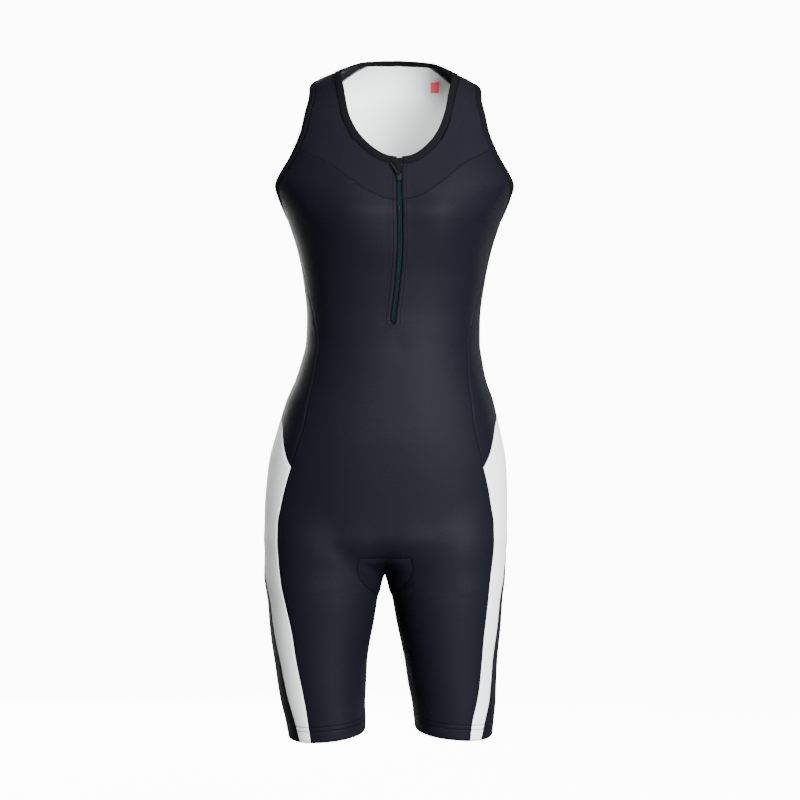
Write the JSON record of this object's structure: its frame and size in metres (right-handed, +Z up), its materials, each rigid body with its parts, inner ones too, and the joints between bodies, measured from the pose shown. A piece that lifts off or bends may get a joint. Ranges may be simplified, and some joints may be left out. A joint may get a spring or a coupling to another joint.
{
  "type": "triathlon suit",
  "caption": "Sleeveless one-piece triathlon suit with short legs, a front half zip, bound neck and armholes and white hip panels, in its worn shape and hollow",
  "frame": {"origin": "between the shoulders, level with their middle, where the wearer carries the suit", "axes": "+Z up, -Y the front, +X the wearer's left"},
  "size_m": [0.3452, 0.2486, 0.9449],
  "materials": {
    "black_cloth": "black lycra with a satin sheen",
    "charcoal_cloth": "charcoal stretch cloth, matt",
    "white_cloth": "white lycra, soft satin",
    "binding": "black stretch tape, matt",
    "coil": "dark teal nylon coil",
    "slider": "dark painted metal",
    "label": "plain red woven tab"
  },
  "bodies": {
    "suit": {"front_body": "black_cloth", "side_left": "black_cloth", "side_right": "black_cloth", "hip_panel_left": "white_cloth", "hip_panel_right": "white_cloth", "back_body": "white_cloth", "seat_left": "black_cloth", "seat_right": "black_cloth", "yoke_left": "charcoal_cloth", "yoke_right": "charcoal_cloth", "gusset": "black_cloth", "neck_binding": "binding", "armhole_binding_left": "binding", "armhole_binding_right": "binding", "zip_tape_left": "binding", "zip_tape_right": "binding", "zip_coil": "coil", "zip_flap": "binding", "zip_slider": "slider", "neck_label": "label"},
    "pull": {"zip_pull": "slider"}
  },
  "joints": [
    {"name": "pull_hinge", "type": "hinge", "parent": "suit", "child": "pull", "pos_m": [0.006, -0.10786, -0.13207], "axis": [0.832, 0.1344, 0.5383], "range_deg": [0, 150]}
  ]
}
